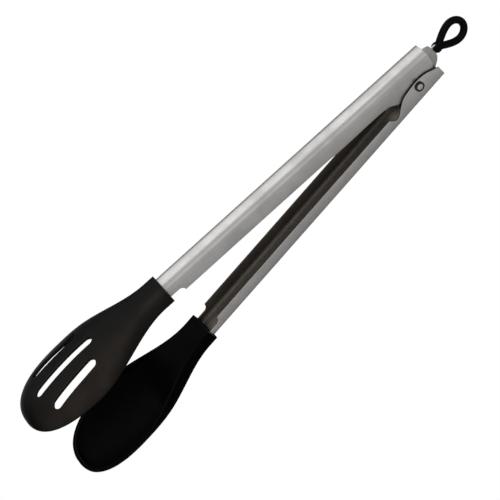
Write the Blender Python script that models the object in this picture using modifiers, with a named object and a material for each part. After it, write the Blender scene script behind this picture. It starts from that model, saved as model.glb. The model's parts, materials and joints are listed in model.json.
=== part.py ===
"""Spring loaded kitchen tongs.

Two pressed steel channel arms nest at one rivet. A torsion spring holds them open, a flat plate
that slides between them carries the hanging loop, and each arm ends in a moulded nylon head.

World frame: +Z is the way the tongs open, +Y lies along the rivet, the heads point to -X.
The outer arm lies underneath, resting on its rear corner and on its head's dome.
Each arm is modelled in a frame of its own with the rivet's axis at the origin. There, "distance"
runs from the rivet towards the head (-X) and "reach" from the rivet away from the arm's own back.
"""

import math
from collections import namedtuple

import bmesh
import bpy
from mathutils import Vector

# ---- driving dimensions: millimetres and degrees -------------------------------------------------
MM = 0.001
SHEET = 0.8  # steel of both arms
FIT = 0.3  # clearance between touching pieces
EAR_GAP = 0.4  # between the nested ears, each side
OUTER_WIDTH = 16.0
OUTER_BACK = 10.1  # rivet's axis to the outside of the outer arm's back
INNER_BACK = 14.1
CORNER = 3.2  # outside bend radius along both edges of a back
INNER_REAR = 14.2  # rivet to the inner arm's rear end
OUTER_REAR = 15.4
NECK = 182.5  # rivet to the collars of the heads
TANG = 24.0  # length of each arm inside its head
TANG_RELIEF = 3.3  # depth of the notch that leaves the tang lower than the flanges
TANG_NOTCH = 9.0  # distance from the notch's start to the collar

HEAD_LENGTH = 106.2
HEAD_WIDTH = 57.6
HEAD_WALL = 2.4
DOME = 14.8  # crown of the bowl above its rim
RIM_SETBACK = 0.6  # rim plane behind the flanges' edges
COLLAR_SKIN = 2.0  # nylon on the flanges
COLLAR_BACK = 1.6  # nylon on the back
SLOT_WIDTH = 5.9
MIDDLE_SLOT_LENGTH = 44.0
MIDDLE_SLOT_TO_TIP = 14.2
SIDE_SLOT_LENGTH = 34.0
SIDE_SLOT_TO_TIP = 18.2
SIDE_SLOT_TO_RIM = (14.8, 13.0)  # from the slot's middle line to the widest rim, at its two ends
NOSE_LENGTH = 39.2  # rounded end of the outline
BOWL_LENGTH = 54.2  # bowl of full depth, up to the tip
CROWN_LENGTH = 66.2  # falling part of the crown

OPENING = 8.7  # between the arms at rest
LOOP_SWING = 2.5  # of the hanging loop at rest, above the plate

SHANK_RADIUS = 2.0
RIVET_OVERHANG = 0.95  # of its head past the shank
RIVET_DOME_SETBACK = 0.15  # shank's radius less that of the raised middle of the near head
RIVET_HEAD_HEIGHT = 1.2
WASHER_OVERHANG = 1.6  # past the shank
WASHER_THICKNESS = 0.6
BUSH_WALL = 1.1
WIRE_RADIUS = 0.55
COIL_TURNS = 2.5
SPRING_LEG = 15.0
PLATE_THICKNESS = 1.2
PLATE_TRAVEL = 6.0
LOOP_LENGTH = 21.0  # pivot to the middle of the strand's far bend
LOOP_HALF_WIDTH = 7.9
LOOP_REACH = 35.0  # how far the loop swings each way before its root meets the plate
STRAND_RADIUS = 2.2
PLUG_RADIUS = 1.4
ROUND_STEPS = 24  # sides of a small round piece

# ---- derived ------------------------------------------------------------------------------------
INNER_WIDTH = OUTER_WIDTH - 2 * (SHEET + EAR_GAP)
BORE_RADIUS = SHANK_RADIUS + FIT
RIVET_HEAD_RADIUS = SHANK_RADIUS + RIVET_OVERHANG
RIVET_DOME_RADIUS = SHANK_RADIUS - RIVET_DOME_SETBACK
WASHER_RADIUS = SHANK_RADIUS + WASHER_OVERHANG
INNER_SPACE = INNER_WIDTH / 2 - SHEET  # half the room between the inner ears

# side: -1 has its back below the rivet, +1 above. back: rivet's axis to the back's outside.
# edge: (distance, reach) along the flanges' edge, from the rear end to the plain part of the arm.
Arm = namedtuple("Arm", "name side half back edge")
OUTER = Arm(
    "outer_arm",
    -1,
    OUTER_WIDTH / 2,
    OUTER_BACK,
    [
        (-OUTER_REAR, -1.5),
        (-11.6, 0.4),
        (-7.2, 2.7),
        (-0.8, 3.8),
        (5.6, 3.4),
        (11.4, 2.3),
        (15.9, -0.6),
        (20.4, -4.1),
        (22.9, -4.1),
        (26.0, -0.6),
    ],
)
INNER = Arm(
    "inner_arm",
    1,
    INNER_WIDTH / 2,
    INNER_BACK,
    [
        (-INNER_REAR, -5.0),
        (-11.6, -1.0),
        (-7.5, 3.2),
        (-3.0, 4.9),
        (4.0, 5.0),
        (10.0, 3.6),
        (16.0, 0.4),
        (22.0, -2.6),
        (56.0, -2.6),
        (66.0, -3.0),
    ],
)


# ---- scene helpers --------------------------------------------------------------------------------
def clear_scene():
    for obj in list(bpy.data.objects):
        bpy.data.objects.remove(obj, do_unlink=True)


def new_collection(name):
    collection = bpy.data.collections.new(name)
    bpy.context.scene.collection.children.link(collection)
    return collection


def material(name, colour, roughness, metallic=0.0):
    mat = bpy.data.materials.new(name)
    mat.use_nodes = True
    shader = mat.node_tree.nodes["Principled BSDF"]
    shader.inputs["Base Color"].default_value = (*colour, 1.0)
    shader.inputs["Roughness"].default_value = roughness
    shader.inputs["Metallic"].default_value = metallic
    return mat


def empty(name, parent=None, at=(0, 0, 0), turn=0.0):
    """A frame for parenting. turn is in degrees about +Y; a positive one lifts what points to -X."""
    frame = bpy.data.objects.new(name, None)
    frame.empty_display_size = 0.01
    frame.location = Vector(at) * MM
    frame.rotation_euler = (0, math.radians(turn), 0)
    frame.parent = parent
    ASSEMBLY.objects.link(frame)
    return frame


def add_object(name, data, parent, mat=None):
    obj = bpy.data.objects.new(name, data)
    obj.parent = parent
    if mat is None:
        CUTTERS.objects.link(obj)
        obj.hide_render = True
        obj.display_type = "WIRE"
    else:
        ASSEMBLY.objects.link(obj)
        data.materials.append(mat)
    return obj


def mesh_object(name, bm, parent, mat=None, smooth_angle=40):
    """Turns a bmesh in millimetres into an object. With no material it is a cutter."""
    bmesh.ops.scale(bm, vec=(MM, MM, MM), verts=bm.verts)
    mesh = bpy.data.meshes.new(name)
    bm.to_mesh(mesh)
    bm.free()
    mesh.shade_smooth()
    mesh.set_sharp_from_angle(angle=math.radians(smooth_angle))
    return add_object(name, mesh, parent, mat)


def mesh_from_curve(curve_object):
    """Replaces a curve object by its welded mesh, so that it can be cut or cut others."""
    graph = bpy.context.evaluated_depsgraph_get()
    mesh = bpy.data.meshes.new_from_object(curve_object.evaluated_get(graph))
    bm = bmesh.new()
    bm.from_mesh(mesh)
    bmesh.ops.remove_doubles(bm, verts=bm.verts, dist=0.001 * MM)
    bmesh.ops.recalc_face_normals(bm, faces=bm.faces)
    bm.to_mesh(mesh)
    bm.free()
    name = curve_object.name
    cutter = curve_object.hide_render
    parent = curve_object.parent
    bpy.data.objects.remove(curve_object, do_unlink=True)
    obj = add_object(name, mesh, parent, None if cutter else mesh.materials[0])
    if not cutter:
        mesh.materials.pop(index=1)
    return obj


def cut(obj, cutter, operation="DIFFERENCE"):
    modifier = obj.modifiers.new(operation.lower(), "BOOLEAN")
    modifier.operation = operation
    modifier.object = cutter


def flat_plate(name, outlines, thickness, parent, mat=None):
    """A plate in the XZ plane, centred on Y = 0. The first outline is its edge, the others are holes."""
    curve = bpy.data.curves.new(name, "CURVE")
    curve.dimensions = "2D"
    curve.fill_mode = "BOTH"
    curve.extrude = thickness / 2 * MM
    for outline in outlines:
        spline = curve.splines.new("POLY")
        spline.points.add(len(outline) - 1)
        for point, (x, z) in zip(spline.points, outline):
            point.co = (x * MM, z * MM, 0, 1)
        spline.use_cyclic_u = True
    obj = add_object(name, curve, parent, mat)
    obj = mesh_from_curve(obj)
    obj.rotation_euler = (math.radians(90), 0, 0)
    return obj


def arc(centre, radius, start, end, steps=8):
    """Points of an arc in a plane, from one angle to another in degrees."""
    angles = [math.radians(start + (end - start) * i / steps) for i in range(steps + 1)]
    return [(centre[0] + radius * math.cos(a), centre[1] + radius * math.sin(a)) for a in angles]


def stadium(start, end, radius):
    """The outline of a straight slot between the centres of its two round ends."""
    heading = math.degrees(math.atan2(end[1] - start[1], end[0] - start[0]))
    return arc(start, radius, heading + 90, heading + 270) + arc(end, radius, heading - 90, heading + 90)


def cylinder_along_y(name, radius, low, high, parent):
    """A cutter round the frame's Y axis."""
    bm = bmesh.new()
    bmesh.ops.create_cone(
        bm, cap_ends=True, segments=ROUND_STEPS, radius1=radius, radius2=radius, depth=high - low
    )
    obj = mesh_object(name, bm, parent)
    obj.rotation_euler = (math.radians(90), 0, 0)
    obj.location = (0, (low + high) / 2 * MM, 0)
    return obj


def turned(name, profile, parent, mat, closed):
    """A turned piece round the rivet's axis. profile is (radius, y), run from its low-y end outwards."""
    bm = bmesh.new()
    verts = [bm.verts.new((radius, 0, -y)) for radius, y in profile]
    for first, second in zip(verts, verts[1:]):
        bm.edges.new((first, second))
    if closed:
        bm.edges.new((verts[-1], verts[0]))
    obj = mesh_object(name, bm, parent, mat)
    obj.rotation_euler = (math.radians(90), 0, 0)
    screw = obj.modifiers.new("turn", "SCREW")
    screw.steps = screw.render_steps = ROUND_STEPS
    screw.use_merge_vertices = True
    screw.merge_threshold = 0.001 * MM
    screw.use_smooth_shade = True
    return obj


def ring(name, inner, outer, low, high, parent, mat):
    """A washer or a bush between two heights along Y."""
    profile = [(inner, low), (outer, low), (outer, high), (inner, high)]
    return turned(name, profile, parent, mat, closed=True)


def slope_at(keys, i):
    before = keys[max(i - 1, 0)]
    after = keys[min(i + 1, len(keys) - 1)]
    return (after[1] - before[1]) / (after[0] - before[0])


def smooth_through(keys, steps):
    """(distance, reach) pairs on a smooth curve through the keys, with some steps between each pair."""
    points = []
    for i, ((x0, y0), (x1, y1)) in enumerate(zip(keys, keys[1:])):
        span = x1 - x0
        for step in range(steps):
            t = step / steps
            rise = (3 - 2 * t) * t * t
            start_pull = t * (1 - t) ** 2 * span * slope_at(keys, i)
            end_pull = t * t * (t - 1) * span * slope_at(keys, i + 1)
            points.append((x0 + span * t, y0 + (y1 - y0) * rise + start_pull + end_pull))
    points.append(keys[-1])
    return points


# ---- arms -----------------------------------------------------------------------------------------
def flange_edge(arm):
    """(distance, reach) of the whole flange edge, from the rear end to the tang's end."""
    plain = arm.edge[-1][1]
    notch = NECK - TANG_NOTCH
    quarter = arc((notch + TANG_RELIEF, plain), TANG_RELIEF, 180, 270, 5)
    return smooth_through(arm.edge, 3) + quarter + [(NECK + TANG, plain - TANG_RELIEF)]


def channel(name, arm, edge, grow, parent, mat=None):
    """A pressed channel with its flange edges at the given (distance, reach) stations. grow thickens it."""
    half = arm.half + grow
    back = arm.back + grow
    radius = CORNER + grow
    bend = arc((half - radius, radius - back), radius, -90, 0, 5)
    bm = bmesh.new()
    rows = []
    for distance, reach in edge:
        section = [(0, -back)] + bend + [(half, reach + grow)]
        rows.append([bm.verts.new((-distance, y, -arm.side * r)) for y, r in section])
    for row, following in zip(rows, rows[1:]):
        for j in range(len(row) - 1):
            quad = (row[j], row[j + 1], following[j + 1], following[j])
            bm.faces.new(quad if arm.side > 0 else quad[::-1])
    obj = mesh_object(name, bm, parent, mat)
    mirror = obj.modifiers.new("both sides", "MIRROR")
    mirror.use_axis = (False, True, False)
    mirror.merge_threshold = 0.001 * MM
    thickness = obj.modifiers.new("sheet", "SOLIDIFY")
    thickness.thickness = (SHEET + 2 * grow) * MM
    thickness.offset = -1
    thickness.use_even_offset = True
    return obj


def build_arm(arm, parent, mat):
    obj = channel(arm.name, arm, flange_edge(arm), 0.0, parent, mat)
    bore = cylinder_along_y(f"{arm.name}_bore", BORE_RADIUS, -OUTER_WIDTH, OUTER_WIDTH, parent)
    cut(obj, bore)
    return obj


# ---- heads ----------------------------------------------------------------------------------------
SHOULDER = (7.0, HEAD_LENGTH - NOSE_LENGTH)  # where a head starts and stops widening, from the collar's edge
BOWL_START = TANG + 2.0
BOWL_FULL = HEAD_LENGTH - BOWL_LENGTH
CROWN_START = HEAD_LENGTH - CROWN_LENGTH  # the crown falls away in front of this
NOSE_POWER = 2.5  # superellipse that rounds the outline towards the tip
CROWN_POWER = 2.0  # and the one that lowers the crown
COLLAR_POWER = 5.0  # superellipse of a section: squarish at the collar ...
DOME_POWERS = (2.0, 1.7)  # ... and an oval over the bowl, across and up
INNER_SCALE = 1 - 2 * HEAD_WALL / HEAD_WIDTH


def ease(value, low, high):
    t = min(max((value - low) / (high - low), 0.0), 1.0)
    return t * t * (3 - 2 * t)


def nose(along, start, power):
    """Falls from 1 at start to 0 at the tip along a superellipse."""
    t = min(max((along - start) / (HEAD_LENGTH - start), 0.0), 1.0)
    return (1 - t**power) ** (1 / power)


def head_section(arm, along):
    """Half width, crown height and the section's two powers at a length along the head."""
    grown = ease(along, *SHOULDER)
    collar = arm.half + COLLAR_SKIN
    half = (collar + (HEAD_WIDTH / 2 - collar) * grown) * nose(along, SHOULDER[1], NOSE_POWER)
    collar_height = arm.edge[-1][1] - RIM_SETBACK + arm.back + COLLAR_BACK
    height = (collar_height + (DOME - collar_height) * grown) * nose(along, CROWN_START, CROWN_POWER)
    across = COLLAR_POWER + (DOME_POWERS[0] - COLLAR_POWER) * grown
    up = COLLAR_POWER + (DOME_POWERS[1] - COLLAR_POWER) * grown
    return half, height, across, up


def head_rows(steps):
    """Lengths along a head, closer together towards the tip."""
    lengths = [HEAD_LENGTH * 0.99995 * math.sin(math.pi / 2 * i / steps) for i in range(steps + 1)]
    return sorted(lengths + [TANG, BOWL_START])


def build_head(name, arm, parent, mat, row_steps=18, side_steps=8):
    """A nylon head: a square collar that opens into a spoon-like bowl with its rim in one plane."""
    rim = arm.edge[-1][1] - RIM_SETBACK
    bm = bmesh.new()

    def row(along, shell):
        half, height, across, up = head_section(arm, along)
        if shell == "inside":
            wall = HEAD_WALL * nose(along, 0, NOSE_POWER)
            height = max(height - wall, 0.0) * ease(along, BOWL_START, BOWL_FULL)
            half *= INNER_SCALE
            along -= HEAD_WALL * ease(along, BOWL_FULL, HEAD_LENGTH)
        verts = []
        for j in range(side_steps + 1):
            angle = math.pi / 2 * j / side_steps
            y = half * math.sin(angle) ** (2 / across)
            h = height * abs(math.cos(angle)) ** (2 / up) if j < side_steps else 0.0
            verts.append(bm.verts.new((-(NECK + along), y, -arm.side * (rim - h))))
        return verts

    lengths = head_rows(row_steps)
    outside = [row(along, "outside") for along in lengths]
    inside = [row(along, "inside") for along in lengths]
    for rows in (outside, inside):
        for first, second in zip(rows, rows[1:]):
            for j in range(side_steps):
                bm.faces.new((first[j], first[j + 1], second[j + 1], second[j]))
    for i in range(len(lengths) - 1):
        bm.faces.new((outside[i][-1], inside[i][-1], inside[i + 1][-1], outside[i + 1][-1]))
    for end in (0, -1):
        for j in range(side_steps):
            bm.faces.new((outside[end][j], outside[end][j + 1], inside[end][j + 1], inside[end][j]))
    bmesh.ops.recalc_face_normals(bm, faces=bm.faces)
    obj = mesh_object(name, bm, parent, mat)
    mirror = obj.modifiers.new("both sides", "MIRROR")
    mirror.use_axis = (False, True, False)
    mirror.merge_threshold = 0.001 * MM

    tip = arm.edge[-1][1] - TANG_RELIEF
    pocket_edge = [(NECK - TANG / 2, tip), (NECK + TANG + FIT, tip)]
    cut(obj, channel(f"{name}_pocket", arm, pocket_edge, FIT, parent))
    return obj


def cut_head_slots(head, arm, parent):
    """One slot down the middle and a shorter one on each side, straight through the dome."""
    radius = SLOT_WIDTH / 2
    middle_end = HEAD_LENGTH - MIDDLE_SLOT_TO_TIP
    side_end = HEAD_LENGTH - SIDE_SLOT_TO_TIP
    side_slot = (side_end - SIDE_SLOT_LENGTH, side_end)
    near, far = (HEAD_WIDTH / 2 - to_rim for to_rim in SIDE_SLOT_TO_RIM)
    slots = {"middle_slot": ((middle_end - MIDDLE_SLOT_LENGTH, middle_end), 0.0, 0.0)}
    slots["left_slot"] = (side_slot, near, far)
    slots["right_slot"] = (side_slot, -near, -far)
    for name, ((start, end), y_start, y_end) in slots.items():
        first = (-(NECK + start + radius), y_start)
        last = (-(NECK + end - radius), y_end)
        cutter = flat_plate(name, [stadium(first, last, radius)], 4 * DOME, parent)
        cutter.rotation_euler = (0, 0, 0)
        cutter.location = (0, 0, arm.side * arm.back * MM)
        cut(head, cutter)


# ---- hinge ----------------------------------------------------------------------------------------
def build_hinge(parent, steel, dark_steel):
    """The rivet with its washers and bush, stacked along Y, all round the hinge axis."""
    near_face = -OUTER_WIDTH / 2 - FIT
    washer_low = OUTER_WIDTH / 2 + FIT
    far_face = washer_low + WASHER_THICKNESS + FIT
    dome = RIVET_DOME_RADIUS
    groove = dome + 0.4
    near_top = near_face - RIVET_HEAD_HEIGHT
    far_top = far_face + RIVET_HEAD_HEIGHT
    profile = [
        (0, near_top),
        (dome * 0.6, near_top + 0.12),
        (dome, near_top + 0.4),
        (dome + 0.1, near_top + 0.7),
        (groove, near_top + 0.7),
        (groove + 0.1, near_top + 0.35),
        (RIVET_HEAD_RADIUS - 0.2, near_top + 0.35),
        (RIVET_HEAD_RADIUS, near_top + 0.6),
        (RIVET_HEAD_RADIUS, near_face),
        (SHANK_RADIUS, near_face),
        (SHANK_RADIUS, far_face),
        (RIVET_HEAD_RADIUS, far_face),
    ]
    profile += [
        (RIVET_HEAD_RADIUS * math.cos(a), far_face + 0.3 + (far_top - far_face - 0.3) * math.sin(a))
        for a in (0, math.radians(30), math.radians(60))
    ]
    profile.append((0, far_top))
    turned("hinge_rivet", profile, parent, steel, closed=False)

    washer_high = washer_low + WASHER_THICKNESS
    ring("rivet_washer", BORE_RADIUS, WASHER_RADIUS, washer_low, washer_high, parent, steel)
    thrust_high = INNER_SPACE - FIT
    thrust_low = thrust_high - WASHER_THICKNESS
    for name, side in (("near_thrust_washer", -1), ("far_thrust_washer", 1)):
        low, high = sorted((side * thrust_low, side * thrust_high))
        ring(name, BORE_RADIUS, WASHER_RADIUS, low, high, parent, dark_steel)
    bush_low = -(thrust_low - FIT)
    bush_high = -(PLATE_THICKNESS / 2 + FIT)
    ring("spacer_bush", BORE_RADIUS, BORE_RADIUS + BUSH_WALL, bush_low, bush_high, parent, steel)
    return thrust_low


def build_spring(thrust_low, parent, mat):
    """A torsion spring round the rivet: one leg under the inner arm's back, one on the outer arm's."""
    coil = BORE_RADIUS + 0.4 + WIRE_RADIUS
    y_outer = thrust_low - FIT - WIRE_RADIUS
    y_inner = PLATE_THICKNESS / 2 + FIT + WIRE_RADIUS
    floor = -OUTER.back + SHEET + FIT + WIRE_RADIUS
    leg = SPRING_LEG
    opened = math.radians(OPENING)
    ceiling = INNER.back - SHEET - FIT - WIRE_RADIUS
    upper_end = (
        -leg * math.cos(opened) + ceiling * math.sin(opened),
        y_inner,
        leg * math.sin(opened) + ceiling * math.cos(opened),
    )
    points = [(-leg, y_outer, floor), (-leg / 3, y_outer, -coil - 1.6)]
    steps = round(COIL_TURNS * 14)
    for i in range(steps + 1):
        t = i / steps
        angle = math.radians(-90 + 360 * COIL_TURNS * t)
        y = y_outer + (y_inner - y_outer) * t
        points.append((coil * math.cos(angle), y, coil * math.sin(angle)))
    points += [(-leg / 5, y_inner, coil + 0.9), upper_end]
    curve = bpy.data.curves.new("torsion_spring", "CURVE")
    curve.dimensions = "3D"
    curve.bevel_depth = WIRE_RADIUS * MM
    curve.bevel_resolution = 2
    curve.use_fill_caps = True
    spline = curve.splines.new("POLY")
    spline.points.add(len(points) - 1)
    for point, (x, y, z) in zip(spline.points, points):
        point.co = (x * MM, y * MM, z * MM, 1)
    return add_object("torsion_spring", curve, parent, mat)


# ---- lock plate and loop --------------------------------------------------------------------------
PLATE_TOP = INNER.back - SHEET - 0.65  # under the inner arm's back, which guides it
PLATE_FOOT = -4.5
PLATE_FRONT = -24.0
PLATE_SHOULDER = INNER_REAR + 4.5
LOOP_PIVOT = (INNER_REAR + 7.5, 5.9)
NOSE_RADIUS = PLUG_RADIUS + FIT + 0.9
ROOT_FRONT = 2.6  # where the strand starts, beyond the nose's middle
ROOT_CENTRE = 0.9
ROOT_RADIUS = STRAND_RADIUS + 0.5


def build_lock_plate(parent, mat):
    """The flat plate between the arms: a slot for the rivet, a tapered tab and a nose for the loop."""
    pivot_x, pivot_z = LOOP_PIVOT
    outline = [
        (PLATE_FRONT, -1.5),
        (PLATE_FRONT + 3, PLATE_FOOT),
        (INNER_REAR + 0.4, PLATE_FOOT),
        (INNER_REAR + 1.2, PLATE_FOOT + 0.5),
        (PLATE_SHOULDER - 0.3, -1.3),
        (PLATE_SHOULDER + 1.5, 1.4),
        (PLATE_SHOULDER + 1.6, pivot_z - NOSE_RADIUS),
    ]
    outline += arc((pivot_x, pivot_z), NOSE_RADIUS, -90, 90, 10)
    outline += [
        (PLATE_SHOULDER + 0.9, pivot_z + NOSE_RADIUS),
        (PLATE_SHOULDER, 10.8),
        (INNER_REAR - 0.9, PLATE_TOP),
        (-9.0, PLATE_TOP),
        (-12.0, 4.5),
        (PLATE_FRONT, 3.0),
    ]
    slot = stadium((-PLATE_TRAVEL, 0), (0, 0), BORE_RADIUS)
    hole = arc(LOOP_PIVOT, PLUG_RADIUS + FIT, 0, 360, 16)[:-1]
    return flat_plate("lock_plate", [outline, slot, hole], PLATE_THICKNESS, parent, mat)


def build_loop(parent, mat):
    """The rubber loop: a teardrop strand, a root split over the plate's nose and a plug through it."""
    curve = bpy.data.curves.new("hanging_loop", "CURVE")
    curve.dimensions = "3D"
    curve.bevel_depth = STRAND_RADIUS * MM
    curve.bevel_resolution = 2
    spline = curve.splines.new("POLY")
    count = 30
    spline.points.add(count - 1)
    for i, point in enumerate(spline.points):
        angle = 2 * math.pi * (i + 0.5) / count
        along = (1 - math.cos(angle)) / 2
        x = ROOT_FRONT + (LOOP_LENGTH - ROOT_FRONT) * along
        z = LOOP_HALF_WIDTH * math.sin(angle) * (0.32 + 0.68 * math.sin(math.pi / 2 * along))
        point.co = (x * MM, 0, z * MM, 1)
    spline.use_cyclic_u = True
    strand = add_object("hanging_loop", curve, parent, mat)
    strand = mesh_from_curve(strand)

    root_outline = arc((ROOT_CENTRE, 0), ROOT_RADIUS, 0, 360, 24)[:-1]
    root = flat_plate("loop_root", [root_outline], 2 * STRAND_RADIUS - 0.1, parent)
    cut(strand, root, "UNION")
    web = NOSE_RADIUS + FIT
    side = 8.0
    slack = (side - web) * math.tan(math.radians(LOOP_REACH + 3))
    corner = arc((0, 0), web, -90 + LOOP_REACH / 2, 90 - LOOP_REACH / 2, 10)
    start = corner[-1][0]
    split_outline = [(-6, -side), (start + slack, -side)] + corner + [(start + slack, side), (-6, side)]
    split = flat_plate("loop_split", [split_outline], PLATE_THICKNESS + 2 * FIT, parent)
    cut(strand, split)
    plug = cylinder_along_y("loop_plug", PLUG_RADIUS, -STRAND_RADIUS + 0.4, STRAND_RADIUS - 0.4, parent)
    cut(strand, plug, "UNION")
    return strand


# ---- assembly -------------------------------------------------------------------------------------
def tilt_to_ground():
    """Degrees that lift the outer arm, so that its rear corner and its head's dome touch one plane."""
    rim = OUTER.edge[-1][1] - RIM_SETBACK
    slopes = []
    for along in range(int(HEAD_LENGTH)):
        crown = head_section(OUTER, along)[1] - rim - OUTER.back
        slopes.append(crown / (OUTER_REAR + NECK + along))
    return math.degrees(math.atan(max(slopes)))


def rest_on_ground(root):
    """Moves the root so that the object's box stands on Z = 0, centred on the origin."""
    graph = bpy.context.evaluated_depsgraph_get()
    corners = []
    for obj in ASSEMBLY.objects:
        if obj.type == "EMPTY":
            continue
        placed = obj.evaluated_get(graph)
        mesh = placed.to_mesh()
        corners += [placed.matrix_world @ vert.co for vert in mesh.vertices]
        placed.to_mesh_clear()
    low = [min(corner[axis] for corner in corners) for axis in range(3)]
    high = [max(corner[axis] for corner in corners) for axis in range(3)]
    root.location -= Vector(((low[0] + high[0]) / 2, (low[1] + high[1]) / 2, low[2]))
    bpy.context.view_layer.update()


clear_scene()
ASSEMBLY = new_collection("kitchen_tongs")
CUTTERS = new_collection("cutters")

STEEL = material("brushed_steel", (0.62, 0.61, 0.58), 0.32, 1.0)
DARK_STEEL = material("spring_steel", (0.35, 0.34, 0.33), 0.4, 1.0)
NYLON = material("black_nylon", (0.012, 0.011, 0.010), 0.5)
RUBBER = material("black_rubber", (0.008, 0.008, 0.008), 0.6)

ground_tilt = tilt_to_ground()

root_frame = empty("tongs")
outer_frame = empty("outer_frame", root_frame, turn=ground_tilt)
inner_frame = empty("inner_frame", outer_frame, turn=OPENING)
lock_frame = empty("lock_frame", inner_frame)
loop_frame = empty("loop_frame", lock_frame, at=(LOOP_PIVOT[0], 0, LOOP_PIVOT[1]), turn=-LOOP_SWING)

build_arm(OUTER, outer_frame, STEEL)
build_arm(INNER, inner_frame, STEEL)
build_head("solid_head", OUTER, outer_frame, NYLON)
slotted_head = build_head("slotted_head", INNER, inner_frame, NYLON)
cut_head_slots(slotted_head, INNER, inner_frame)
thrust_face = build_hinge(outer_frame, STEEL, DARK_STEEL)
build_spring(thrust_face, outer_frame, DARK_STEEL)
build_lock_plate(lock_frame, STEEL)
build_loop(loop_frame, RUBBER)
bpy.context.view_layer.update()
rest_on_ground(root_frame)
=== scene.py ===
# %% [markdown]
# # Spring loaded kitchen tongs
# Two pressed steel arms turn on one rivet, a spring pushes them apart, and a black nylon head sits
# on each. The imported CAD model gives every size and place. This lesson builds the fine surfaces
# around it: rounded sheet edges, moulded lips, brushed steel, nylon and rubber.

# %% Load the frame
import math
import json

import bmesh
import bpy
from mathutils import Matrix, Vector


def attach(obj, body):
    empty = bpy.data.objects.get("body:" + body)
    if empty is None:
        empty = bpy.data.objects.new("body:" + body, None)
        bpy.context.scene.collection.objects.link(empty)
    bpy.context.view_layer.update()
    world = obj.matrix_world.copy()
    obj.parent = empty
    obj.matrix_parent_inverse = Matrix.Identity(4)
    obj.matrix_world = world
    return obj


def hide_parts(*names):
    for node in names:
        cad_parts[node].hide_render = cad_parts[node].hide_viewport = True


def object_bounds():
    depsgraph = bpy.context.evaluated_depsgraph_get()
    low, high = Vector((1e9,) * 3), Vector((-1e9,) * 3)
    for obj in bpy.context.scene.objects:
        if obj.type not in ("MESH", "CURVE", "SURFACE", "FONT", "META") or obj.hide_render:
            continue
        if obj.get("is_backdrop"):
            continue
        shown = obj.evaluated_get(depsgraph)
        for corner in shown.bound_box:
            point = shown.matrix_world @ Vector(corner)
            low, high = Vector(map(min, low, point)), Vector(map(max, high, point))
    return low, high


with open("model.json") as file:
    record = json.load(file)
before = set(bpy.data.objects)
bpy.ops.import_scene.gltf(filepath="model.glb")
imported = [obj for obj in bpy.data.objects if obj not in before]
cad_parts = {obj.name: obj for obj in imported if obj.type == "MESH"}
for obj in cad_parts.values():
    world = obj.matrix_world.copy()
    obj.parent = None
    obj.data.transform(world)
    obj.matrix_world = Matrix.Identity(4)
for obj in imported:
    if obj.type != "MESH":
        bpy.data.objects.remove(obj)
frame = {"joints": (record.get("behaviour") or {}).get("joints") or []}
cad_low, cad_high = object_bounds()
print("CAD box, metres:", [round(v, 4) for v in cad_high - cad_low])

# %% [markdown]
# The arms are easiest to draw lying flat, each in a frame of its own with the rivet's axis at the
# origin. The joints say where the rivet is and which way the inner arm points, and the outer arm is
# 8.7 degrees away from it. Everything below is drawn in millimetres in one of these frames.

# %% The frames of the arms and of the loop
MM = 0.001
joints = {joint["name"]: joint for joint in frame["joints"]}


def turned_frame(place, along):
    """A frame whose X axis points along a direction in the XZ plane."""
    turn = math.atan2(-along[2], along[0])
    return Matrix.Translation(Vector(place)) @ Matrix.Rotation(turn, 4, "Y")


OPENING, LOOP_SWING = math.radians(8.7), math.radians(2.5)
slide_axis = Vector(joints["lock_slide"]["axis"])
outer_axis = Matrix.Rotation(-OPENING, 3, "Y") @ slide_axis
hinge_place = joints["arm_hinge"]["pos_m"]
outer_frame = turned_frame(hinge_place, outer_axis)
inner_frame = turned_frame(hinge_place, slide_axis)
loop_frame = turned_frame(joints["loop_swing"]["pos_m"], slide_axis)
loop_frame = loop_frame @ Matrix.Rotation(-LOOP_SWING, 4, "Y")
lift = math.degrees(math.atan2(-outer_axis.z, outer_axis.x))
print("outer arm lifted by", round(lift, 2), "degrees")

# %% [markdown]
# The camera stands a little over a metre away with a long lens, so the far head is only slightly
# smaller than the near one. It is rolled, which lays the tongs along the picture's diagonal.

# %% Camera
AZIMUTH, ELEVATION, ROLL = math.radians(4.48), math.radians(40.32), math.radians(52.46)
CAMERA_DISTANCE, CAMERA_LENS, CAMERA_SHIFT = 1.054, 134.9, (-0.0032, -0.0441)
aim = Vector((0, 0, 0.030))
backward = Vector(
    (
        math.sin(AZIMUTH) * math.cos(ELEVATION),
        -math.cos(AZIMUTH) * math.cos(ELEVATION),
        math.sin(ELEVATION),
    )
)
camera_data = bpy.data.cameras.new("camera")
camera_data.sensor_width = 36
camera_data.lens = CAMERA_LENS
camera_data.shift_x, camera_data.shift_y = CAMERA_SHIFT
camera = bpy.data.objects.new("camera", camera_data)
bpy.context.scene.collection.objects.link(camera)
facing = backward.to_track_quat("Z", "Y").to_matrix().to_4x4()
camera.matrix_world = (
    Matrix.Translation(aim + CAMERA_DISTANCE * backward) @ facing @ Matrix.Rotation(-ROLL, 4, "Z")
)
bpy.context.scene.camera = camera

# %% [markdown]
# Brushed metal shows the room more than itself. A broad soft box behind and above makes the arms'
# backs bright, a dark horizon behind draws their far edges, and the pale floor in front gives their
# sides a mid grey. The camera sees the floor as pure white, as on a light table.


# %% Floor, sky and soft boxes
def node_in(tree, kind, **values):
    """A new node with some of its inputs or properties set by name."""
    node = tree.nodes.new(kind)
    for name, value in values.items():
        label = name.replace("_", " ").title()
        if label in node.inputs:
            node.inputs[label].default_value = value
        else:
            setattr(node, name, value)
    return node


def new_material(name):
    material = bpy.data.materials.new(name)
    material.use_nodes = True
    shader = material.node_tree.nodes["Principled BSDF"]
    return material, material.node_tree, shader


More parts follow.
